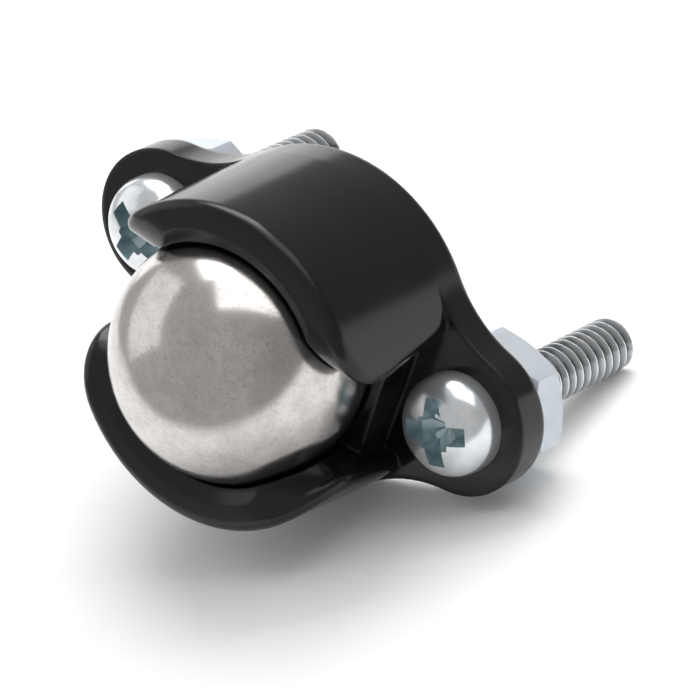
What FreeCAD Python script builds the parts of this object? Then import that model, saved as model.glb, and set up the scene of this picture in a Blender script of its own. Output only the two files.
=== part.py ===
import FreeCAD
import Part
import Sketcher
import math
import os

# Ball castor: a moulded cup with two ears, a steel ball snapped into it,
# and two pan-head screws with hex nuts. Millimetres, Z up, ball on Z = 0.
doc = FreeCAD.newDocument("ball_castor")

# Driving sizes
sheet = doc.addObject("Spreadsheet::Sheet", "sizes")
sizeRows = [
    ("ball_d", "12.7"),
    ("ball_gap", "0.2"),
    ("seat_rise", "7.62"),
    ("flange_thick", "2.03"),
    ("hole_spacing", "19.05"),
    ("hole_d", "3.2"),
    ("ear_rad", "3.81"),
    ("cup_wall", "1.95"),
    ("cup_draft", "0.2"),
    ("blend_rad", "7"),
    ("lip_drop", "2.6"),
    ("lip_wall", "1.35"),
    ("mouth_drop", "2.2"),
    ("slot_half", "2.62"),
    ("slot_top_half", "3.7"),
    ("slot_rise", "3.3"),
    ("corner_rad", "3"),
    ("arm_round", "0.5"),
    ("edge_round", "0.3"),
    ("head_d", "5.16"),
    ("head_high", "2.36"),
    ("head_edge", "0.65"),
    ("head_round", "1.45"),
    ("head_gap", "0.4"),
    ("notch_deep", "0.35"),
    ("recess_len", "1.8"),
    ("recess_half", "0.54"),
    ("recess_core", "0.88"),
    ("recess_deep", "1.25"),
    ("recess_taper", "14"),
    ("screw_len", "13.5"),
    ("crest_d", "2.84"),
    ("pitch_d", "2.43"),
    ("tip_bevel", "0.3"),
    ("nut_flats", "6.35"),
    ("nut_thick", "2.38"),
    ("nut_bevel", "0.4"),
    ("cut_over", "1"),
]
for row, (alias, value) in enumerate(sizeRows, 1):
    sheet.set("A%d" % row, alias)
    sheet.set("B%d" % row, value)
    sheet.setAlias("B%d" % row, alias)
doc.recompute()

# Fits and positions that come from shared sizes
BALL_RISE = "sizes.ball_d / 2"
SEAT_RAD = "sizes.ball_d / 2 + sizes.ball_gap"
CUP_RAD = "(sizes.ball_d / 2 + sizes.ball_gap + sizes.cup_wall)"
LIP_RAD = "(%s - sizes.cup_draft)" % CUP_RAD
LIP_INNER = "(%s - sizes.lip_wall)" % LIP_RAD
UNDER_LIP = "-sizes.lip_drop - sizes.cut_over"
EAR_FRONT = "sizes.seat_rise - sizes.flange_thick"
GRIP = "sizes.flange_thick + sizes.nut_thick"
HEAD_CLEAR = "sizes.hole_spacing / 2 - sizes.head_d / 2 - sizes.head_gap"
NOTCH_IN = "min(%s - sizes.notch_deep; %s)" % (SEAT_RAD, HEAD_CLEAR)
SLOT_SLOPE = "(sizes.slot_top_half - sizes.slot_half) / (%s)" % EAR_FRONT


def size(alias):
    return float(sheet.get(alias))


def new_body(label):
    body = doc.addObject("PartDesign::Body", label)
    body.Label = label
    return body


def new_sketch(body, role, name, lift=None):
    sketch = body.newObject("Sketcher::SketchObject", name)
    plane = [item for item in body.Origin.OriginFeatures if item.Role == role][0]
    sketch.AttachmentSupport = [(plane, "")]
    sketch.MapMode = "FlatFace"
    if lift:
        sketch.setExpression("AttachmentOffset.Base.z", lift)
    doc.recompute()
    return sketch


def bind(sketch, constraint, name, expression):
    index = sketch.addConstraint(constraint)
    sketch.renameConstraint(index, name)
    sketch.setExpression("Constraints." + name, expression)


def point(x, y):
    return FreeCAD.Vector(x, y, 0)


def pin_point(sketch, geo, pos, name, x_expression, y_expression):
    # Fixes one end of a line by its two distances from the sketch origin.
    for kind, value in (("DistanceX", x_expression), ("DistanceY", y_expression)):
        if value == "0":
            axis = -2 if kind == "DistanceX" else -1
            sketch.addConstraint(Sketcher.Constraint("PointOnObject", geo, pos, axis))
        else:
            spot = sketch.getPoint(geo, pos)
            now = spot.x if kind == "DistanceX" else spot.y
            bind(sketch, Sketcher.Constraint(kind, -1, 1, geo, pos, now),
                 name + kind[-1].lower(), value)


def arc(center, radius, start, end):
    circle = Part.Circle(point(*center), FreeCAD.Vector(0, 0, 1), radius)
    return Part.ArcOfCircle(circle, start, end)


def feature(body, kind, name, profile, **settings):
    item = body.newObject("PartDesign::" + kind, name)
    item.Profile = profile
    for key, value in settings.items():
        setattr(item, key, value)
    return item


def hole_circles(sketch, radius_expression, radius_now):
    # Two circles on the screw centres, either side of the ball.
    for side, name in ((1, "right"), (-1, "left")):
        x_now = side * size("hole_spacing") / 2
        geo = sketch.addGeometry(Part.Circle(point(x_now, 0), FreeCAD.Vector(0, 0, 1), radius_now))
        sketch.addConstraint(Sketcher.Constraint("PointOnObject", geo, 3, -1))
        bind(sketch, Sketcher.Constraint("DistanceX", -1, 1, geo, 3, x_now),
             name + "_x", "%d * sizes.hole_spacing / 2" % side)
        bind(sketch, Sketcher.Constraint("Radius", geo, radius_now), name + "_r", radius_expression)


# Housing, with its ball centre as its own origin
housing = new_body("housing")
housing.setExpression("Placement.Base.z", BALL_RISE)

# Flange outline: a round middle running through hollow curves into two ears
outline = new_sketch(housing, "XY_Plane", "flange_outline", "sizes.seat_rise")
seatR = size("ball_d") / 2 + size("ball_gap")
cupR = seatR + size("cup_wall")
lipR = cupR - size("cup_draft")
lipIn = lipR - size("lip_wall")
earR = size("ear_rad")
blendR = size("blend_rad")
half = size("hole_spacing") / 2
blendX = ((cupR + blendR) ** 2 - (earR + blendR) ** 2 + half ** 2) / (2 * half)
blendY = math.sqrt((cupR + blendR) ** 2 - blendX ** 2)
toCup = math.atan2(blendY, blendX)
toEar = math.atan2(blendY, blendX - half)
pi = math.pi
outlineArcs = [
    arc((half, 0), earR, -toEar, toEar),
    arc((blendX, blendY), blendR, pi + toCup, pi + toEar),
    arc((0, 0), cupR, toCup, pi - toCup),
    arc((-blendX, blendY), blendR, 2 * pi - toEar, 2 * pi - toCup),
    arc((-half, 0), earR, pi - toEar, pi + toEar),
    arc((-blendX, -blendY), blendR, toCup, toEar),
    arc((0, 0), cupR, pi + toCup, 2 * pi - toCup),
    arc((blendX, -blendY), blendR, pi - toEar, pi - toCup),
]
ids = [outline.addGeometry(item) for item in outlineArcs]
for index, arcId in enumerate(ids):
    # Ears and middle run anticlockwise and the hollows clockwise, so like ends meet
    end = 2 if index % 2 == 0 else 1
    after = ids[(index + 1) % len(ids)]
    outline.addConstraint(Sketcher.Constraint("Tangent", arcId, end, after, end))
for index in (2, 6):
    outline.addConstraint(Sketcher.Constraint("Coincident", ids[index], 3, -1, 1))
bind(outline, Sketcher.Constraint("Radius", ids[2], cupR), "cup_r", CUP_RAD)
outline.addConstraint(Sketcher.Constraint("Equal", ids[2], ids[6]))
for index, side in ((0, 1), (4, -1)):
    outline.addConstraint(Sketcher.Constraint("PointOnObject", ids[index], 3, -1))
    bind(outline, Sketcher.Constraint("DistanceX", -1, 1, ids[index], 3, side * half),
         "ear_x%d" % index, "%d * sizes.hole_spacing / 2" % side)
bind(outline, Sketcher.Constraint("Radius", ids[0], earR), "ear_r", "sizes.ear_rad")
outline.addConstraint(Sketcher.Constraint("Equal", ids[0], ids[4]))
bind(outline, Sketcher.Constraint("Radius", ids[1], blendR), "blend_r", "sizes.blend_rad")
for index in (3, 5, 7):
    outline.addConstraint(Sketcher.Constraint("Equal", ids[1], ids[index]))
flange = feature(housing, "Pad", "flange", outline, Reversed=True)
flange.setExpression("Length", "sizes.flange_thick")
doc.recompute()

# Cup: a slightly tapered round wall below the flange
wall = new_sketch(housing, "XZ_Plane", "cup_profile")
wallPoints = [
    ("top_axis", 0, size("seat_rise") - size("flange_thick"), "0", EAR_FRONT),
    ("top_rim", cupR, size("seat_rise") - size("flange_thick"), CUP_RAD, EAR_FRONT),
    ("lip_rim", lipR, -size("lip_drop"), LIP_RAD, "-sizes.lip_drop"),
    ("lip_axis", 0, -size("lip_drop"), "0", "-sizes.lip_drop"),
]


def polygon(sketch, rows):
    # Closed outline of straight lines, every corner fixed by its own two sizes.
    count = len(rows)
    lines = []
    for index in range(count):
        here = rows[index]
        there = rows[(index + 1) % count]
        segment = Part.LineSegment(point(here[1], here[2]), point(there[1], there[2]))
        lines.append(sketch.addGeometry(segment))
    for index in range(count):
        after = lines[(index + 1) % count]
        sketch.addConstraint(Sketcher.Constraint("Coincident", lines[index], 2, after, 1))
    for index, row in enumerate(rows):
        pin_point(sketch, lines[index], 1, row[0], row[3], row[4])
    return lines


polygon(wall, wallPoints)
cup = feature(housing, "Revolution", "cup", wall, ReferenceAxis=(wall, ["V_Axis"]))
doc.recompute()

# Ball seat: a round cavity closing in below the ball's middle, with a bevelled mouth
seat = new_sketch(housing, "XZ_Plane", "seat_profile")
mouthZ = -size("mouth_drop")
mouthR = math.sqrt(seatR ** 2 - mouthZ ** 2)
lipZ = -size("lip_drop")
underZ = lipZ - size("cut_over")
dome = seat.addGeometry(arc((0, 0), seatR, math.atan2(mouthZ, mouthR), pi / 2))
bevel = seat.addGeometry(Part.LineSegment(point(mouthR, mouthZ), point(lipIn, lipZ)))
outer = seat.addGeometry(Part.LineSegment(point(lipIn, lipZ), point(lipIn, underZ)))
below = seat.addGeometry(Part.LineSegment(point(lipIn, underZ), point(0, underZ)))
axis = seat.addGeometry(Part.LineSegment(point(0, underZ), point(0, seatR)))
seat.addConstraint(Sketcher.Constraint("Coincident", dome, 3, -1, 1))
seat.addConstraint(Sketcher.Constraint("Coincident", dome, 1, bevel, 1))
seat.addConstraint(Sketcher.Constraint("Coincident", bevel, 2, outer, 1))
seat.addConstraint(Sketcher.Constraint("Coincident", outer, 2, below, 1))
seat.addConstraint(Sketcher.Constraint("Coincident", below, 2, axis, 1))
seat.addConstraint(Sketcher.Constraint("Coincident", axis, 2, dome, 2))
seat.addConstraint(Sketcher.Constraint("Vertical", outer))
seat.addConstraint(Sketcher.Constraint("Horizontal", below))
seat.addConstraint(Sketcher.Constraint("PointOnObject", axis, 1, -2))
seat.addConstraint(Sketcher.Constraint("PointOnObject", axis, 2, -2))
bind(seat, Sketcher.Constraint("Radius", dome, seatR), "seat_r", SEAT_RAD)
bind(seat, Sketcher.Constraint("DistanceY", -1, 1, bevel, 1, mouthZ), "mouth_z", "-sizes.mouth_drop")
pin_point(seat, outer, 1, "lip", LIP_INNER, "-sizes.lip_drop")
bind(seat, Sketcher.Constraint("DistanceY", -1, 1, below, 1, underZ), "under_z", UNDER_LIP)
cavity = feature(housing, "Groove", "seat", seat, ReferenceAxis=(seat, ["V_Axis"]))
doc.recompute()

# Side slots between the two arms: flared upwards, their lower corners well rounded
slot = new_sketch(housing, "YZ_Plane", "slot_profile")
slotW = size("slot_half")
earFront = size("seat_rise") - size("flange_thick")
slope = (size("slot_top_half") - slotW) / earFront
tilt = math.atan(slope)
cornerR = size("corner_rad")
slotTop = size("slot_rise")
roofY = slotW + slope * slotTop
bendZ = lipZ + cornerR
touchZ = bendZ + cornerR * math.sin(tilt)
touchY = slotW + slope * touchZ
footY = touchY + cornerR * math.cos(tilt)
leftBend = slot.addGeometry(arc((-footY, bendZ), cornerR, -pi / 2, tilt))
leftSide = slot.addGeometry(Part.LineSegment(point(-touchY, touchZ), point(-roofY, slotTop)))
roof = slot.addGeometry(Part.LineSegment(point(-roofY, slotTop), point(roofY, slotTop)))
rightSide = slot.addGeometry(Part.LineSegment(point(roofY, slotTop), point(touchY, touchZ)))
rightBend = slot.addGeometry(arc((footY, bendZ), cornerR, pi - tilt, 3 * pi / 2))
rightFoot = slot.addGeometry(Part.LineSegment(point(footY, lipZ), point(footY, underZ)))
floor = slot.addGeometry(Part.LineSegment(point(footY, underZ), point(-footY, underZ)))
leftFoot = slot.addGeometry(Part.LineSegment(point(-footY, underZ), point(-footY, lipZ)))
slot.addConstraint(Sketcher.Constraint("Tangent", leftBend, 2, leftSide, 1))
slot.addConstraint(Sketcher.Constraint("Coincident", leftSide, 2, roof, 1))
slot.addConstraint(Sketcher.Constraint("Coincident", roof, 2, rightSide, 1))
slot.addConstraint(Sketcher.Constraint("Tangent", rightSide, 2, rightBend, 1))
slot.addConstraint(Sketcher.Constraint("Coincident", rightBend, 2, rightFoot, 1))
slot.addConstraint(Sketcher.Constraint("Coincident", rightFoot, 2, floor, 1))
slot.addConstraint(Sketcher.Constraint("Coincident", floor, 2, leftFoot, 1))
slot.addConstraint(Sketcher.Constraint("Coincident", leftFoot, 2, leftBend, 1))
slot.addConstraint(Sketcher.Constraint("Horizontal", floor))
slot.addConstraint(Sketcher.Constraint("Vertical", leftFoot))
slot.addConstraint(Sketcher.Constraint("Vertical", rightFoot))
slot.addConstraint(Sketcher.Constraint("Symmetric", roof, 1, roof, 2, -2))
bind(slot, Sketcher.Constraint("Radius", leftBend, cornerR), "left_r", "sizes.corner_rad")
bind(slot, Sketcher.Constraint("Radius", rightBend, cornerR), "right_r", "sizes.corner_rad")
bind(slot, Sketcher.Constraint("DistanceX", -1, 1, roof, 2, roofY), "half_w",
     "sizes.slot_half + sizes.slot_rise * " + SLOT_SLOPE)
bind(slot, Sketcher.Constraint("DistanceY", -1, 1, roof, 2, slotTop), "roof_z", "sizes.slot_rise")
for side, line, name in ((-1, leftSide, "left"), (1, rightSide, "right")):
    waist = slot.addGeometry(Part.Point(point(side * slotW, 0)), True)
    slot.addConstraint(Sketcher.Constraint("PointOnObject", waist, 1, -1))
    bind(slot, Sketcher.Constraint("DistanceX", -1, 1, waist, 1, side * slotW), name + "_waist",
         "%d * sizes.slot_half" % side)
    slot.addConstraint(Sketcher.Constraint("PointOnObject", waist, 1, line))
bind(slot, Sketcher.Constraint("DistanceY", -1, 1, leftBend, 3, bendZ), "left_bend_z",
     "sizes.corner_rad - sizes.lip_drop")
bind(slot, Sketcher.Constraint("DistanceY", -1, 1, rightBend, 3, bendZ), "right_bend_z",
     "sizes.corner_rad - sizes.lip_drop")
bind(slot, Sketcher.Constraint("DistanceX", leftBend, 1, leftBend, 3, 0.0), "left_foot_x", "0")
bind(slot, Sketcher.Constraint("DistanceX", rightBend, 2, rightBend, 3, 0.0), "right_foot_x", "0")
bind(slot, Sketcher.Constraint("DistanceY", -1, 1, floor, 1, underZ), "floor_z", UNDER_LIP)
slots = feature(housing, "Pocket", "side_slots", slot, Type="ThroughAll", SideType="Symmetric")
doc.recompute()

# Notches that let each screw head sit on the ear: the slots carried up at their outer ends
for side, name in ((1, "right"), (-1, "left")):
    notch = new_sketch(housing, "YZ_Plane", name + "_notch_profile", "%d * %s" % (side, NOTCH_IN))
    topHalf = size("slot_top_half")
    polygon(notch, [
        ("low_a", -slotW, 0, "-sizes.slot_half", "0"),
        ("low_b", slotW, 0, "sizes.slot_half", "0"),
        ("high_b", topHalf, earFront, "sizes.slot_top_half", EAR_FRONT),
        ("high_a", -topHalf, earFront, "-sizes.slot_top_half", EAR_FRONT),
    ])
    feature(housing, "Pocket", name + "_notch", notch, Type="ThroughAll", Reversed=side > 0)
    doc.recompute()

# Screw holes through the ears
drill = new_sketch(housing, "XY_Plane", "hole_circles", "sizes.seat_rise")
hole_circles(drill, "sizes.hole_d / 2", size("hole_d") / 2)
holes = feature(housing, "Pocket", "screw_holes", drill)
holes.setExpression("Length", "sizes.flange_thick")
doc.recompute()


def edges_where(shape, test):
    return ["Edge%d" % (index + 1) for index, edge in enumerate(shape.Edges) if test(edge)]


# Rounded outer edges of both arms, and an eased back edge on the flange


def on_cone(shape, edge):
    faces = shape.ancestorsOfType(edge, Part.Face)
    kinds = [type(face.Surface).__name__ for face in faces]
    return "Cone" in kinds and len(faces) == 2


def arm_edge(edge):
    box = edge.BoundBox
    wide = max(abs(box.XMin), abs(box.XMax), abs(box.YMin), abs(box.YMax))
    below = box.ZMin < size("seat_rise") - size("flange_thick") - 0.01
    return below and on_cone(holes.Shape, edge) and wide > lipIn + size("arm_round") / 2


armRound = housing.newObject("PartDesign::Fillet", "arm_rounding")
armRound.Base = (holes, edges_where(holes.Shape, arm_edge))
armRound.setExpression("Radius", "sizes.arm_round")
doc.recompute()


def back_edge(edge):
    box = edge.BoundBox
    flat = abs(box.ZMin - size("seat_rise")) < 0.01 and abs(box.ZMax - size("seat_rise")) < 0.01
    return flat and edge.Curve.Radius > size("hole_d")


backRound = housing.newObject("PartDesign::Fillet", "back_rounding")
backRound.Base = (armRound, edges_where(armRound.Shape, back_edge))
backRound.setExpression("Radius", "sizes.edge_round")
housing.Tip = backRound
doc.recompute()

# Ball, turning freely in the seat
ball = new_body("ball")
ball.setExpression("Placement.Base.z", BALL_RISE)
ballArc = new_sketch(ball, "XZ_Plane", "ball_profile")
ballR = size("ball_d") / 2
bow = ballArc.addGeometry(arc((0, 0), ballR, -pi / 2, pi / 2))
chord = ballArc.addGeometry(Part.LineSegment(point(0, ballR), point(0, -ballR)))
ballArc.addConstraint(Sketcher.Constraint("Coincident", bow, 3, -1, 1))
ballArc.addConstraint(Sketcher.Constraint("Coincident", bow, 2, chord, 1))
ballArc.addConstraint(Sketcher.Constraint("Coincident", bow, 1, chord, 2))
ballArc.addConstraint(Sketcher.Constraint("PointOnObject", chord, 1, -2))
ballArc.addConstraint(Sketcher.Constraint("PointOnObject", chord, 2, -2))
bind(ballArc, Sketcher.Constraint("Radius", bow, ballR), "ball_r", "sizes.ball_d / 2")
feature(ball, "Revolution", "sphere", ballArc, ReferenceAxis=(ballArc, ["V_Axis"]))
doc.recompute()


def make_screw(label, side, turn):
    # Pan head under its own origin, shank up. The shank is drawn at the thread's pitch
    # diameter where it is covered and at its crest diameter where it stands free.
    screw = new_body(label)
    screw.Placement.Rotation = FreeCAD.Rotation(FreeCAD.Vector(0, 0, 1), turn)
    screw.setExpression("Placement.Base.x", "%d * sizes.hole_spacing / 2" % side)
    screw.setExpression("Placement.Base.z", BALL_RISE + " + " + EAR_FRONT)
    profile = new_sketch(screw, "XZ_Plane", label + "_profile")
    headR = size("head_d") / 2
    headZ = -size("head_high")
    sideZ = -size("head_edge")
    turnR = size("head_round")
    pitchR = size("pitch_d") / 2
    crestR = size("crest_d") / 2
    tip = size("screw_len")
    cut = size("tip_bevel")
    grip = size("flange_thick") + size("nut_thick")
    # Crown circle: centred on the axis, through the crown, touching the edge circle inside
    edgeX = headR - turnR
    crownR = (edgeX ** 2 + (sideZ - headZ) ** 2 - turnR ** 2) / (2 * (sideZ - headZ - turnR))
    crownZ = headZ + crownR
    lean = math.atan2(sideZ - crownZ, edgeX)
    corners = [
        ("crown", 0, headZ), ("tip_axis", 0, tip), ("tip_in", crestR - cut, tip),
        ("tip_out", crestR, tip - cut), ("free_low", crestR, grip), ("step", pitchR, grip),
        ("neck", pitchR, 0), ("seat_rim", headR, 0), ("side_end", headR, sideZ),
    ]
    lines = []
    for here, there in zip(corners[:-1], corners[1:]):
        segment = Part.LineSegment(point(here[1], here[2]), point(there[1], there[2]))
        lines.append(profile.addGeometry(segment))
    edge = profile.addGeometry(arc((edgeX, sideZ), turnR, lean, 0))
    crown = profile.addGeometry(arc((0, crownZ), crownR, -pi / 2, lean))
    for first, second in zip(lines[:-1], lines[1:]):
        profile.addConstraint(Sketcher.Constraint("Coincident", first, 2, second, 1))
    profile.addConstraint(Sketcher.Constraint("Tangent", lines[-1], 2, edge, 2))
    profile.addConstraint(Sketcher.Constraint("Tangent", edge, 1, crown, 2))
    profile.addConstraint(Sketcher.Constraint("Coincident", crown, 1, lines[0], 1))
    profile.addConstraint(Sketcher.Constraint("PointOnObject", crown, 3, -2))
    pin_point(profile, lines[0], 1, "crown", "0", "-sizes.head_high")
    pin_point(profile, lines[1], 1, "tip_axis", "0", "sizes.screw_len")
    pin_point(profile, lines[2], 1, "tip_in", "sizes.crest_d / 2 - sizes.tip_bevel", "sizes.screw_len")
    pin_point(profile, lines[3], 1, "tip_out", "sizes.crest_d / 2", "sizes.screw_len - sizes.tip_bevel")
    pin_point(profile, lines[4], 1, "free_low", "sizes.crest_d / 2", GRIP)
    pin_point(profile, lines[5], 1, "step", "sizes.pitch_d / 2", GRIP)
    pin_point(profile, lines[6], 1, "neck", "sizes.pitch_d / 2", "0")
    pin_point(profile, lines[7], 1, "rim", "sizes.head_d / 2", "0")
    pin_point(profile, lines[7], 2, "side", "sizes.head_d / 2", "-sizes.head_edge")
    bind(profile, Sketcher.Constraint("Radius", edge, turnR), "edge_r", "sizes.head_round")
    feature(screw, "Revolution", label + "_turned", profile, ReferenceAxis=(profile, ["V_Axis"]))
    doc.recompute()
    # Cross recess: four wings about a wider core, narrowing inwards
    cross = new_sketch(screw, "XY_Plane", label + "_cross", "-sizes.head_high")
    wing = ("sizes.recess_len", size("recess_len"))
    thin = ("sizes.recess_half", size("recess_half"))
    core = ("sizes.recess_core", size("recess_core"))
    rows = []
    for quarter in range(4):
        for spot, (along, across) in enumerate(((wing, thin), (core, thin), (thin, core))):
            pairs = [(along, 1), (across, 1)]
            for _ in range(quarter):
                pairs = [(pairs[1][0], -pairs[1][1]), pairs[0]]
            rows.append((
                "q%d%s" % (quarter, "abc"[spot]),
                pairs[0][1] * pairs[0][0][1], pairs[1][1] * pairs[1][0][1],
                "%d * %s" % (pairs[0][1], pairs[0][0][0]), "%d * %s" % (pairs[1][1], pairs[1][0][0]),
            ))
        along, across = thin, wing
        pairs = [(along, 1), (across, 1)]
        for _ in range(quarter):
            pairs = [(pairs[1][0], -pairs[1][1]), pairs[0]]
        rows.append((
            "q%dd" % quarter,
            pairs[0][1] * pairs[0][0][1], pairs[1][1] * pairs[1][0][1],
            "%d * %s" % (pairs[0][1], pairs[0][0][0]), "%d * %s" % (pairs[1][1], pairs[1][0][0]),
        ))
    polygon(cross, rows)
    recess = feature(screw, "Pocket", label + "_recess", cross, Reversed=True)
    recess.setExpression("Length", "sizes.recess_deep")
    recess.setExpression("TaperAngle", "-sizes.recess_taper")
    doc.recompute()
    return screw


def make_nut(label, side, turn):
    nut = new_body(label)
    nut.Placement.Rotation = FreeCAD.Rotation(FreeCAD.Vector(0, 0, 1), turn)
    nut.setExpression("Placement.Base.x", "%d * sizes.hole_spacing / 2" % side)
    nut.setExpression("Placement.Base.z", BALL_RISE + " + sizes.seat_rise")
    hexagon = new_sketch(nut, "XY_Plane", label + "_hexagon")
    reach = size("nut_flats") / math.sqrt(3)
    rows = []
    for corner in range(6):
        x = reach * math.cos(corner * pi / 3)
        y = reach * math.sin(corner * pi / 3)
        alongX = "%.12f * sizes.nut_flats" % (x / size("nut_flats"))
        alongY = "%.12f * sizes.nut_flats" % (y / size("nut_flats"))
        rows.append(("c%d" % corner, x, y, alongX, "0" if corner % 3 == 0 else alongY))
    polygon(hexagon, rows)
    block = feature(nut, "Pad", label + "_block", hexagon)
    block.setExpression("Length", "sizes.nut_thick")
    doc.recompute()
    # Corners turned off on both faces
    ring = new_sketch(nut, "XZ_Plane", label + "_corner_profile")
    out = reach + size("cut_over")
    flat = size("nut_flats") / 2
    drop = size("nut_bevel")
    high = size("nut_thick")
    run = out - flat
    slope = drop / (reach - flat)
    flatX = "sizes.nut_flats / 2"
    outX = "sizes.nut_flats / sqrt(3) + sizes.cut_over"
    fall = "sizes.nut_bevel * (%s - %s) / (sizes.nut_flats / sqrt(3) - %s)" % (outX, flatX, flatX)
    polygon(ring, [
        ("low_in", flat, 0, flatX, "0"),
        ("low_out", out, 0, outX, "0"),
        ("low_up", out, slope * run, outX, fall),
    ])
    polygon(ring, [
        ("high_in", flat, high, flatX, "sizes.nut_thick"),
        ("high_down", out, high - slope * run, outX, "sizes.nut_thick - " + fall),
        ("high_out", out, high, outX, "sizes.nut_thick"),
    ])
    feature(nut, "Groove", label + "_corners", ring, ReferenceAxis=(ring, ["V_Axis"]))
    doc.recompute()
    bore = new_sketch(nut, "XY_Plane", label + "_bore_circle", "sizes.nut_thick")
    geo = bore.addGeometry(Part.Circle(point(0, 0), FreeCAD.Vector(0, 0, 1), size("pitch_d") / 2))
    bore.addConstraint(Sketcher.Constraint("Coincident", geo, 3, -1, 1))
    bind(bore, Sketcher.Constraint("Radius", geo, size("pitch_d") / 2), "bore_r", "sizes.pitch_d / 2")
    feature(nut, "Pocket", label + "_bore", bore, Type="ThroughAll")
    doc.recompute()
    return nut


nodes = [
    housing,
    ball,
    make_screw("left_screw", -1, 20),
    make_screw("right_screw", 1, -23),
    make_nut("left_nut", -1, 30),
    make_nut("right_nut", 1, 7),
]
doc.recompute()

# Every feature must be sound before anything is written
for item in doc.Objects:
    if "Invalid" in item.State or "Error" in item.State:
        raise RuntimeError(item.Label + " failed")
for node in nodes:
    shape = node.Shape
    if shape.isNull() or not shape.isValid() or len(shape.Solids) != 1:
        raise RuntimeError(node.Label + " is not one sound solid")

os.makedirs("parts", exist_ok=True)
for node in nodes:
    node.Shape.exportStep("parts/%s.step" % node.Label)
    print(node.Label, "volume %.2f mm3" % node.Shape.Volume)
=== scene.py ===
import math

import bmesh
import bpy
from mathutils import Matrix, Vector


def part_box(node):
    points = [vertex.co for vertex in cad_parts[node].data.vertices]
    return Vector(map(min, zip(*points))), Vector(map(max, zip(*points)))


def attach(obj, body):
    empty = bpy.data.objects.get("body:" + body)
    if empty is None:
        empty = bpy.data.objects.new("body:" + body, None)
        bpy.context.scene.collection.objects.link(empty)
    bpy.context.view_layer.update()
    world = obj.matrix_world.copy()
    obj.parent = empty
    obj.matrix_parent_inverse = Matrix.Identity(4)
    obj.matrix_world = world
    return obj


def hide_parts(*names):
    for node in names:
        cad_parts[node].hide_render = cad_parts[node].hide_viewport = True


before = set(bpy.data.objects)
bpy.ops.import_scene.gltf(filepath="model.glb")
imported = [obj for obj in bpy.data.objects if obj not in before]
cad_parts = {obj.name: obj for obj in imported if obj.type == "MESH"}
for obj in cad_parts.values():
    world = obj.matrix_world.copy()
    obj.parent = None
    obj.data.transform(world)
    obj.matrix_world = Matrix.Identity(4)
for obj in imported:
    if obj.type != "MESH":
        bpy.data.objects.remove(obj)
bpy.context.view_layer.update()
mm = 0.001
print("frame loaded:", sorted(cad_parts))

ballLow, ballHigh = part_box("ball")
ballMiddle = (ballLow + ballHigh) / 2


# shader maths: a socket with operators
class Field:
    def __init__(self, tree, socket):
        self.tree = tree
        self.socket = socket

    def maths(self, operation, first, second):
        return addNode(self.tree, "ShaderNodeMath", {"operation": operation}, {0: first, 1: second})

    def __add__(self, other):
        return self.maths("ADD", self, other)

    def __radd__(self, other):
        return self.maths("ADD", other, self)

    def __sub__(self, other):
        return self.maths("SUBTRACT", self, other)

    def __mul__(self, other):
        return self.maths("MULTIPLY", self, other)


def addNode(tree, kind, settings=None, values=None, output=0):
    node = tree.nodes.new(kind)
    for key, value in (settings or {}).items():
        if key == "stops":
            elements = node.color_ramp.elements
            while len(elements) < len(value):
                elements.new(0.5)
            for element, (position, colour) in zip(elements, value):
                element.position = position
                element.color = colour
        else:
            setattr(node, key, value)
    for key, value in (values or {}).items():
        socket = node.inputs[key]
        if isinstance(value, Field):
            tree.links.new(value.socket, socket)
        else:
            socket.default_value = value
    return Field(tree, node.outputs[output])


def grey(level):
    return (level, level, level, 1)


def newMaterial(name):
    material = bpy.data.materials.new(name)
    material.use_nodes = True
    tree = material.node_tree
    return material, tree, tree.nodes["Principled BSDF"]


def feed(tree, field, socket):
    tree.links.new(field.socket, socket)


def noiseAt(tree, place, noise):
    scale, detail, roughness = noise
    return addNode(tree, "ShaderNodeTexNoise", {},
                   {"Vector": place, "Scale": scale, "Detail": detail, "Roughness": roughness})


def ramp(tree, factor, stops):
    return addNode(tree, "ShaderNodeValToRGB", {"stops": stops}, {"Fac": factor})


def band(tree, factor, span):
    # black up to the span, white after it
    return ramp(tree, factor, [(span[0], grey(0)), (span[1], grey(1))])


def mixColour(tree, factor, first, second):
    return addNode(tree, "ShaderNodeMix", {"data_type": "RGBA"}, {0: factor, 6: first, 7: second}, 2)


def bump(tree, height, strength, distance, soft=0.0):
    values = {"Height": height, "Strength": strength, "Distance": distance}
    if soft:
        values["Normal"] = addNode(tree, "ShaderNodeBevel", {"samples": 6}, {"Radius": soft})
    return addNode(tree, "ShaderNodeBump", {}, values)


# noises in the looks below: scale per metre, detail, roughness

# black moulded plastic
plasticLook = {
    "colour": (0.0045, 0.0045, 0.005, 1),
    "worn": (0.009, 0.009, 0.0095, 1),
    "rough": 0.15,
    "roughSpread": 0.08,
    "grain": (5200.0, 2, 0.5),
    "flow": (260.0, 4, 0.6),
    "bump": 0.05,
    "bumpDeep": 0.02 * mm,
    "edge": 0.32 * mm,      # mould radius on edges
    "ior": 1.43,
}


def blackPlastic():
    look = plasticLook
    material, tree, shader = newMaterial("blackPlastic")
    place = addNode(tree, "ShaderNodeTexCoord", output=3)
    flow = noiseAt(tree, place, look["flow"])
    grain = noiseAt(tree, place, look["grain"])
    feed(tree, mixColour(tree, flow, look["colour"], look["worn"]), shader.inputs["Base Color"])
    least = look["rough"] - look["roughSpread"] / 2
    feed(tree, least + flow * look["roughSpread"], shader.inputs["Roughness"])
    feed(tree, bump(tree, grain, look["bump"], look["bumpDeep"], look["edge"]), shader.inputs["Normal"])
    shader.inputs["IOR"].default_value = look["ior"]
    return material


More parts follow.
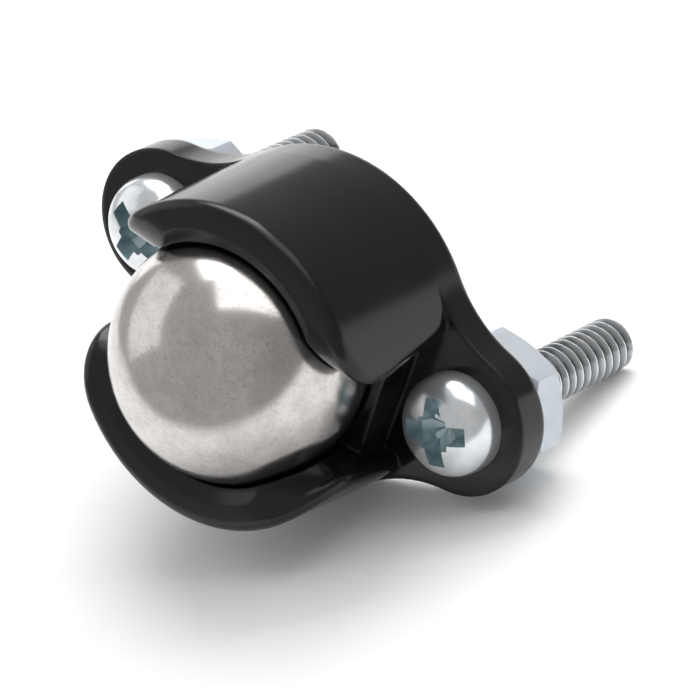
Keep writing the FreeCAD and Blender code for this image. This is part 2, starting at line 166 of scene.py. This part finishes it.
# polished ball steel, mottled and lightly scratched from rolling
steelLook = {
    "colour": (0.68, 0.65, 0.63, 1),
    "mottled": (0.59, 0.565, 0.545, 1),
    "speck": (0.40, 0.39, 0.38, 1),
    "rough": 0.1,
    "roughSpread": 0.16,
    "mottle": (900.0, 5, 0.65),
    "specks": (5200.0, 3, 0.6),
    "scratches": (1.0, 2, 0.5),
    "drawnOut": (900.0, 5200.0, 1400.0),      # scratches per metre along each axis
    "patchSpan": (0.4, 0.6),                  # of the noises, where marks begin and are full
    "dotSpan": (0.54, 0.68),
    "lineSpan": (0.62, 0.7),
    "dotShare": 0.5,
    "lineShare": 0.2,
    "markRough": 0.1,
    "lineDeep": 0.5,
    "bump": 0.08,
    "bumpDeep": 0.01 * mm,
}


def ballSteel():
    look = steelLook
    material, tree, shader = newMaterial("ballSteel")
    place = addNode(tree, "ShaderNodeTexCoord", output=3)
    mottle = noiseAt(tree, place, look["mottle"])
    specks = noiseAt(tree, place, look["specks"])
    drawn = addNode(tree, "ShaderNodeVectorMath", {"operation": "MULTIPLY"}, {0: place, 1: look["drawnOut"]})
    scratches = noiseAt(tree, drawn, look["scratches"])
    patches = band(tree, mottle, look["patchSpan"])
    dots = band(tree, specks, look["dotSpan"])
    lines = band(tree, scratches, look["lineSpan"])
    marks = dots * look["dotShare"] + lines * look["lineShare"]
    worn = mixColour(tree, patches, look["colour"], look["mottled"])
    feed(tree, mixColour(tree, marks, worn, look["speck"]), shader.inputs["Base Color"])
    rough = look["rough"] + mottle * look["roughSpread"] + marks * look["markRough"]
    feed(tree, rough, shader.inputs["Roughness"])
    height = specks - lines * look["lineDeep"]
    feed(tree, bump(tree, height, look["bump"], look["bumpDeep"]), shader.inputs["Normal"])
    shader.inputs["Metallic"].default_value = 1
    return material


# bright zinc plate on the fasteners
zincLook = {
    "colour": (0.88, 0.90, 0.92, 1),
    "cloudy": (0.72, 0.75, 0.78, 1),
    "recess": (0.52, 0.63, 0.66, 1),        # passivation's teal tint, darkened in the cross as painted shade
    "groove": (0.05, 0.052, 0.052, 1),      # painted shade in the thread's grooves
    "rough": 0.12,
    "roughSpread": 0.2,
    "cloud": (900.0, 4, 0.6),
    "cloudSpan": (0.35, 0.7),
    "pits": (5000.0, 2, 0.5),
    "bump": 0.15,
    "bumpDeep": 0.01 * mm,
    "metal": 0.78,
}
nutLook = {
    **zincLook,
    "colour": (0.66, 0.71, 0.75, 1),
    "cloudy": (0.60, 0.65, 0.70, 1),
    "rough": 0.34,
    "metal": 0.5,
}


def zincPlate(name, look):
    material, tree, shader = newMaterial(name)
    place = addNode(tree, "ShaderNodeTexCoord", output=3)
    cloud = noiseAt(tree, place, look["cloud"])
    pits = noiseAt(tree, place, look["pits"])
    mask = band(tree, cloud, look["cloudSpan"])
    plate = mixColour(tree, mask, look["colour"], look["cloudy"])
    inRecessShade = addNode(tree, "ShaderNodeAttribute", {"attribute_name": "recess"}, {}, 2)
    grooveShadeMask = addNode(tree, "ShaderNodeAttribute", {"attribute_name": "groove"}, {}, 2)
    # painted shade: the cross is darker, with the passivation's teal tint
    plate = mixColour(tree, inRecessShade, plate, look["recess"])
    # painted shade: darker in the thread's grooves, full at the root
    feed(tree, mixColour(tree, grooveShadeMask, plate, look["groove"]), shader.inputs["Base Color"])
    feed(tree, look["rough"] + cloud * look["roughSpread"], shader.inputs["Roughness"])
    feed(tree, bump(tree, pits, look["bump"], look["bumpDeep"]), shader.inputs["Normal"])
    shader.inputs["Metallic"].default_value = look["metal"]
    return material


plastic = blackPlastic()
steel = ballSteel()
zinc = zincPlate("zincScrew", zincLook)
nutZinc = zincPlate("zincNut", nutLook)
finishes = {
    "housing": plastic,
    "ball": steel,
    "left_screw": zinc,
    "right_screw": zinc,
    "left_nut": nutZinc,
    "right_nut": nutZinc,
}
for name, material in finishes.items():
    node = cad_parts[name]
    node.data.materials.clear()
    node.data.materials.append(material)
print("finishes on", len(finishes), "nodes")


# modelling helpers, millimetres until a piece is placed
weld = 0.0005


def arcPoints(middle, radius, start, end, count):
    points = []
    for step in range(count + 1):
        angle = start + (end - start) * step / count
        points.append((middle[0] + radius * math.cos(angle), middle[1] + radius * math.sin(angle)))
    return points


def lathe(points, steps):
    # turns an outline of (radius, height) points about Z
    shape = bmesh.new()
    verts = [shape.verts.new((radius, 0, height)) for radius, height in points]
    edges = [shape.edges.new(pair) for pair in zip(verts[:-1], verts[1:])]
    bmesh.ops.spin(shape, geom=verts + edges, cent=(0, 0, 0), axis=(0, 0, 1), dvec=(0, 0, 0),
                   angle=2 * math.pi, steps=steps, use_merge=True)
    closeShape(shape)
    return shape


def closeShape(shape):
    bmesh.ops.remove_doubles(shape, verts=shape.verts, dist=weld)
    bmesh.ops.recalc_face_normals(shape, faces=shape.faces)


def asObject(shape, name):
    mesh = bpy.data.meshes.new(name)
    shape.to_mesh(mesh)
    shape.free()
    piece = bpy.data.objects.new(name, mesh)
    bpy.context.scene.collection.objects.link(piece)
    return piece


def carve(shape, cutter, operation="DIFFERENCE"):
    # boolean of two shapes, back as a bmesh
    body = asObject(shape, "body")
    tool = asObject(cutter, "tool")
    step = body.modifiers.new("cut", "BOOLEAN")
    step.operation = operation
    step.solver = "EXACT"
    step.object = tool
    result = bpy.data.meshes.new_from_object(body.evaluated_get(bpy.context.evaluated_depsgraph_get()))
    made = bmesh.new()
    made.from_mesh(result)
    for item in (body, tool):
        bpy.data.objects.remove(item)
    bpy.data.meshes.remove(result)
    return made


def placePiece(shape, name, spot, turn, material, sharp):
    # millimetres to metres, turned and set in place in the mesh itself
    place = Matrix.Translation(spot) @ Matrix.Rotation(math.radians(turn), 4, "Z") @ Matrix.Scale(mm, 4)
    bmesh.ops.transform(shape, matrix=place, verts=shape.verts)
    for face in shape.faces:
        face.smooth = True
    piece = asObject(shape, name)
    piece.data.set_sharp_from_angle(angle=math.radians(sharp))
    piece.data.materials.append(material)
    return piece


# pan-head screws with a rolled thread, millimetres
screwLook = {
    "headWide": 5.16,
    "headHigh": 2.36,
    "headEdge": 0.65,
    "headRound": 1.45,
    "rimBevel": 0.12,
    "crownSteps": 10,
    "edgeSteps": 14,
    "aroundSteps": 96,
    "crest": 1.42,
    "pitch": 0.635,
    "threadDeep": 0.36,
    # depth as a share of the thread's, and place as a share of the pitch
    "profile": [(1, 0), (1, 0.22), (1 / 12, 0.52), (0, 0.57), (0, 0.65), (1 / 12, 0.70), (1, 1)],
    "shadeDeep": 0.07,        # below the crest, where the painted groove shade is full
    "tipBevel": 0.35,
    "turnSteps": 40,
    "sunk": 0.1,            # shank into head
    "wingLong": 1.98,
    "wingHalf": 0.54,
    "coreHalf": 0.9,
    "ribHalf": 0.86,        # small ribs between the wings
    "recessDeep": 1.3,
    "recessNarrow": 0.72,
    "recessPoint": 0.35,
    "recessClear": 0.4,     # the plug's part above the crown
    "recessLip": 0.06,      # clean edge of the cross
    "skin": 0.02,           # what counts as on a surface
    "sharp": 38,            # degrees
    "turns": {"left_screw": 20, "right_screw": -23},
}


def crownRadius(look):
    # the crown's circle touches the edge's circle inside
    edgeX = look["headWide"] / 2 - look["headRound"]
    rise = look["headHigh"] - look["headEdge"]
    return (edgeX ** 2 + rise ** 2 - look["headRound"] ** 2) / (2 * (rise - look["headRound"]))


def crownHeight(look, radius):
    crown = crownRadius(look)
    return crown - look["headHigh"] - math.sqrt(crown ** 2 - radius ** 2)


def headShape(look):
    radius = look["headWide"] / 2
    top = -look["headHigh"]
    edge = -look["headEdge"]
    soft = look["headRound"]
    edgeX = radius - soft
    crown = crownRadius(look)
    crownZ = top + crown
    lean = math.atan2(edge - crownZ, edgeX)
    rim = look["rimBevel"]
    outline = arcPoints((0, crownZ), crown, -math.pi / 2, lean, look["crownSteps"])
    outline += arcPoints((edgeX, edge), soft, lean, 0, look["edgeSteps"])[1:]
    outline += [(radius, -rim), (radius - rim, 0), (0, 0)]
    outline[0] = (0, top)
    return lathe(outline, look["aroundSteps"])


def markRecess(shape, look):
    # faces well below the crown belong to the cross, which gets painted shade
    mark = shape.faces.layers.float.new("recess")
    for face in shape.faces:
        middle = face.calc_center_median()
        reach = middle.xy.length
        if reach < look["wingLong"] and look["skin"] - look["headHigh"] < middle.z < -look["skin"]:
            face[mark] = 1.0 if middle.z - crownHeight(look, reach) > look["recessLip"] else 0.0


def crossShape(look):
    # a cross-shaped plug that narrows inwards
    shape = bmesh.new()
    tip, half, core, rib = (look[key] for key in ("wingLong", "wingHalf", "coreHalf", "ribHalf"))
    corners = []
    for quarter in range(4):
        turn = Matrix.Rotation(quarter * math.pi / 2, 3, "Z")
        for x, y in ((tip, -half), (tip, half), (core, half), (rib, rib), (half, core)):
            corners.append(shape.verts.new(turn @ Vector((x, y, 0))))
    mouth = shape.faces.new(corners)
    raised = bmesh.ops.extrude_face_region(shape, geom=[mouth])
    inner = [item for item in raised["geom"] if isinstance(item, bmesh.types.BMVert)]
    narrow = look["recessNarrow"]
    bmesh.ops.scale(shape, vec=(narrow, narrow, 1), verts=inner)
    clear = look["recessClear"]
    bmesh.ops.translate(shape, vec=(0, 0, look["recessDeep"] + clear), verts=inner)
    bmesh.ops.translate(shape, vec=(0, 0, -look["headHigh"] - clear), verts=shape.verts)
    # the bottom slopes to a point, as the driver does
    bottom = [item for item in raised["geom"] if isinstance(item, bmesh.types.BMFace)]
    point = bmesh.ops.poke(shape, faces=bottom)
    bmesh.ops.translate(shape, vec=(0, 0, look["recessPoint"]), verts=point["verts"])
    closeShape(shape)
    return shape


def threadShape(look, length):
    # one thread's outline swept along the helix, cut flat at both ends
    pitch = look["pitch"]
    crest = look["crest"]
    deep = look["threadDeep"]
    shape = bmesh.new()
    verts = []
    for depth, along in look["profile"]:
        verts.append(shape.verts.new((crest - deep * depth, 0, pitch * (along - 2))))
    edges = [shape.edges.new(pair) for pair in zip(verts[:-1], verts[1:])]
    turns = math.ceil(length / pitch) + 3
    steps = turns * look["turnSteps"]
    bmesh.ops.spin(shape, geom=verts + edges, cent=(0, 0, 0), axis=(0, 0, 1),
                   dvec=(0, 0, pitch / look["turnSteps"]), angle=2 * math.pi * turns, steps=steps)
    bmesh.ops.remove_doubles(shape, verts=shape.verts, dist=weld)
    for height, side in ((-look["sunk"], -1), (length, 1)):
        everything = list(shape.verts) + list(shape.edges) + list(shape.faces)
        cut = bmesh.ops.bisect_plane(shape, geom=everything, plane_co=(0, 0, height),
                                     plane_no=(0, 0, side), clear_outer=True)
        rim = [item for item in cut["geom_cut"] if isinstance(item, bmesh.types.BMEdge)]
        bmesh.ops.edgeloop_fill(shape, edges=rim)
    # the tip is bevelled: no point there stands outside a cone
    start = length - look["tipBevel"]
    for vert in shape.verts:
        radius = vert.co.xy.length
        limit = crest - max(0, vert.co.z - start)
        if radius > limit:
            vert.co.xy *= limit / radius
    bmesh.ops.recalc_face_normals(shape, faces=shape.faces)
    return shape


def markGrooveShade(shape, look, end):
    # how far below the crest each point lies, for the painted groove shade
    mark = shape.verts.layers.float.new("groove")
    for vert in shape.verts:
        if look["skin"] < vert.co.z < end:
            vert[mark] = min(1, (look["crest"] - vert.co.xy.length) / look["shadeDeep"])


def makeScrew(node):
    look = screwLook
    low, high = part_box(node)
    seat = Vector(((low.x + high.x) / 2, (low.y + high.y) / 2, low.z + look["headHigh"] * mm))
    shape = carve(headShape(look), crossShape(look))
    markRecess(shape, look)
    length = (high.z - seat.z) / mm
    shank = threadShape(look, length)
    # the shank joins the head in one mesh
    spare = bpy.data.meshes.new("shank")
    shank.to_mesh(spare)
    shank.free()
    shape.from_mesh(spare)
    bpy.data.meshes.remove(spare)
    markGrooveShade(shape, look, length - look["tipBevel"])
    piece = placePiece(shape, node + "_threaded", seat, look["turns"][node], zinc, look["sharp"])
    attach(piece, "housing")
    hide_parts(node)
    return piece


for node in ("left_screw", "right_screw"):
    made = makeScrew(node)
    print(made.name, len(made.data.polygons), "faces")


# hexagon nuts, turned at their corners, millimetres
nutShapeLook = {
    "flats": 6.35,
    "cornerDrop": 0.42,
    "washer": 6.2,          # flat ring left by the corner cut
    "bore": 1.2,
    "sink": 1.62,
    "edge": 0.06,
    "edgeSegments": 2,
    "aroundSteps": 96,
    "boreSteps": 72,
    "spare": 1.0,           # cutters past the faces
    "sharp": 25,            # degrees
    "turns": {"left_nut": 30, "right_nut": 7},
}


def nutShape(look, high):
    shape = bmesh.new()
    corner = look["flats"] / math.sqrt(3)
    bmesh.ops.create_circle(shape, cap_ends=True, segments=6, radius=corner)
    raised = bmesh.ops.extrude_face_region(shape, geom=list(shape.faces))
    top = [item for item in raised["geom"] if isinstance(item, bmesh.types.BMVert)]
    bmesh.ops.translate(shape, vec=(0, 0, high), verts=top)
    bmesh.ops.rotate(shape, cent=(0, 0, 0), matrix=Matrix.Rotation(math.pi / 6, 3, "Z"), verts=shape.verts)
    bmesh.ops.recalc_face_normals(shape, faces=shape.faces)
    bmesh.ops.bevel(shape, geom=list(shape.edges), offset=look["edge"], offset_type="OFFSET",
                    affect="EDGES", segments=look["edgeSegments"], profile=0.5, material=-1)
    ring = look["washer"] / 2
    spare = look["spare"]
    reach = corner + spare
    drop = look["cornerDrop"] * (reach - ring) / (corner - ring)
    hull = lathe([(0, 0), (ring, 0), (reach, drop), (reach, high - drop), (ring, high), (0, high)],
                 look["aroundSteps"])
    shape = carve(shape, hull, "INTERSECT")
    sink = look["sink"]
    bore = look["bore"]
    deep = sink - bore
    hole = lathe([(0, -spare), (sink, -spare), (sink, 0), (bore, deep), (bore, high - deep), (sink, high),
                  (sink, high + spare), (0, high + spare)], look["boreSteps"])
    return carve(shape, hole)


def makeNut(node):
    look = nutShapeLook
    low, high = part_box(node)
    seat = Vector(((low.x + high.x) / 2, 0, low.z))
    shape = nutShape(look, (high.z - low.z) / mm)
    piece = placePiece(shape, node + "_turned", seat, look["turns"][node], nutZinc, look["sharp"])
    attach(piece, "housing")
    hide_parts(node)
    return piece


for node in ("left_nut", "right_nut"):
    made = makeNut(node)
    print(made.name, len(made.data.polygons), "faces")


# the ball, as smooth as a ground one
ballLook = {"subdivisions": 6, "sharp": 180}


def makeBall():
    shape = bmesh.new()
    radius = (ballHigh.z - ballLow.z) / 2 / mm
    bmesh.ops.create_icosphere(shape, subdivisions=ballLook["subdivisions"], radius=radius)
    piece = placePiece(shape, "ball_ground", ballMiddle, 0, steel, ballLook["sharp"])
    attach(piece, "ball")
    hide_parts("ball")
    return piece


print(makeBall().name, "made")


# camera fitted to the photograph
cameraLook = {
    "right": (0.76, -0.2742, 0.5893),
    "forward": (-0.4013, 0.5154, 0.7572),
    "offset": (-5.347, 0.153, 300.0),      # ball centre: right, down and ahead, mm
    "focal": 6227.5,                       # pixels
    "image": 700,                          # pixels wide
    "sensor": 36.0,                        # mm
    "clipStart": 10 * mm,
}


def setCamera():
    look = cameraLook
    forward = Vector(look["forward"]).normalized()
    right = Vector(look["right"])
    right = (right - forward * right.dot(forward)).normalized()
    down = forward.cross(right)
    x, y, z = (value * mm for value in look["offset"])
    place = ballMiddle - right * x - down * y - forward * z
    data = bpy.data.cameras.new("camera")
    data.sensor_width = look["sensor"]
    data.lens = look["focal"] * look["sensor"] / look["image"]
    data.clip_start = look["clipStart"]
    camera = bpy.data.objects.new("camera", data)
    turn = Matrix((right, -down, -forward)).transposed().to_4x4()
    camera.matrix_world = Matrix.Translation(place) @ turn
    bpy.context.scene.collection.objects.link(camera)
    bpy.context.scene.camera = camera
    return right, down


viewRight, viewDown = setCamera()
print("camera set")


# the studio's upright axes in the photograph; the castor lies on its side
studioLook = {"turn": 70.0}
# it rests on one arm, the right nut and that screw's tip
floorLook = {
    "turn": 63.2,          # degrees from +X to the floor's underside normal
    "tilt": 14.2,          # the nut end lies lower
    "rest": 10.06 * mm,    # ball centre to floor
    "half": 400 * mm,
    "colour": 0.96,
    "rough": 0.8,
    "tooth": (900.0, 2, 0.5),
    "toothSpread": 0.02,
    "lift": 0.05,          # paper white, as seen straight or in metal
    "frontStart": 17 * mm,      # the paper ends just below the picture
    "frontEnd": 20 * mm,
}


def upright(turn, tilt=0.0):
    turn = math.radians(turn)
    tilt = math.radians(tilt)
    return -Vector((math.cos(turn) * math.cos(tilt), math.sin(turn) * math.cos(tilt), math.sin(tilt)))


floorUp = upright(floorLook["turn"], floorLook["tilt"])
studioUp = upright(studioLook["turn"])
studioAcross = (viewRight - studioUp * viewRight.dot(studioUp)).normalized()
studioTowards = studioAcross.cross(studioUp)      # to the camera


def layFloor():
    look = floorLook
    shape = bmesh.new()
    bmesh.ops.create_grid(shape, x_segments=1, y_segments=1, size=look["half"])
    turn = floorUp.to_track_quat("Z", "Y").to_matrix().to_4x4()
    middle = ballMiddle - floorUp * look["rest"]
    bmesh.ops.transform(shape, matrix=Matrix.Translation(middle) @ turn, verts=shape.verts)
    floor = asObject(shape, "floor")
    material, tree, shader = newMaterial("paleFloor")
    place = addNode(tree, "ShaderNodeTexCoord", output=3)
    tooth = noiseAt(tree, place, look["tooth"])
    paper = grey(look["colour"])
    pale = grey(look["colour"] + look["toothSpread"])
    feed(tree, mixColour(tree, tooth, paper, pale), shader.inputs["Base Color"])
    ahead = addNode(tree, "ShaderNodeVectorMath", {"operation": "DOT_PRODUCT"},
                    {0: place, 1: tuple(viewDown)}, 1) - ballMiddle.dot(viewDown)
    span = look["frontEnd"] - look["frontStart"]
    fade = band(tree, (ahead - look["frontStart"]) * (1 / span), (0, 1))
    shader.inputs["Roughness"].default_value = look["rough"]
    shader.inputs["Specular IOR Level"].default_value = 0
    seen, glossy, through = (addNode(tree, "ShaderNodeLightPath", {}, {}, name)
                             for name in ("Is Camera Ray", "Is Glossy Ray", "Is Transmission Ray"))
    feed(tree, seen + glossy + through, shader.inputs["Emission Color"])
    shader.inputs["Emission Strength"].default_value = look["lift"]
    # only its top side shows, so that views from behind aren't blocked
    back = addNode(tree, "ShaderNodeNewGeometry", output=6)
    clear = addNode(tree, "ShaderNodeBsdfTransparent")
    solid = Field(tree, shader.outputs[0])
    both = addNode(tree, "ShaderNodeMixShader", {}, {0: back + fade, 1: solid, 2: clear})
    feed(tree, both, tree.nodes["Material Output"].inputs["Surface"])
    floor.data.materials.append(material)


layFloor()
print("floor laid")

# soft studio lights, placed on the studio's axes: across, up and towards the camera, mm
lightLooks = [
    {"name": "topSoftbox", "spot": (-24, 244, -92), "wide": 172, "tall": 160, "glow": 4.7},
    {"name": "overhead", "spot": (40, 240, 46), "wide": 240, "tall": 185, "glow": 1.45},
    {"name": "leftPanel", "spot": (-232, 92, -62), "wide": 240, "tall": 190, "glow": 0.56},
    {"name": "backWall", "spot": (20, 72, -300), "wide": 440, "tall": 146, "glow": 1.1},
]


def addLight(look):
    data = bpy.data.lights.new(look["name"], "AREA")
    data.shape = "RECTANGLE"
    data.size = look["wide"] * mm
    data.size_y = look["tall"] * mm
    data.energy = look["glow"] * math.pi * data.size * data.size_y      # watts for that radiance
    lamp = bpy.data.objects.new(look["name"], data)
    across, up, towards = look["spot"]
    spot = (studioAcross * across + studioUp * up + studioTowards * towards) * mm
    back = spot.normalized()
    side = studioAcross - back * studioAcross.dot(back)
    turn = Matrix((side.normalized(), back.cross(side).normalized(), back)).transposed().to_4x4()
    lamp.matrix_world = Matrix.Translation(ballMiddle + spot) @ turn
    bpy.context.scene.collection.objects.link(lamp)


for look in lightLooks:
    addLight(look)

# the room: paler on the left, darker on the right
roomLook = {"left": 0.48, "middle": 0.45, "right": 0.25}


def setWorld():
    world = bpy.data.worlds.new("studio")
    bpy.context.scene.world = world
    world.use_nodes = True
    tree = world.node_tree
    background = tree.nodes["Background"]
    heading = addNode(tree, "ShaderNodeTexCoord")
    lean = addNode(tree, "ShaderNodeVectorMath", {"operation": "DOT_PRODUCT"},
                   {0: heading, 1: tuple(studioAcross)}, 1)
    room = ramp(tree, lean * 0.5 + 0.5, [(0, grey(roomLook["left"])), (0.5, grey(roomLook["middle"])),
                                         (1, grey(roomLook["right"]))])
    feed(tree, room, background.inputs["Color"])
    background.inputs["Strength"].default_value = 1


setWorld()
bpy.context.scene.view_settings.view_transform = "Standard"
print("lights set")
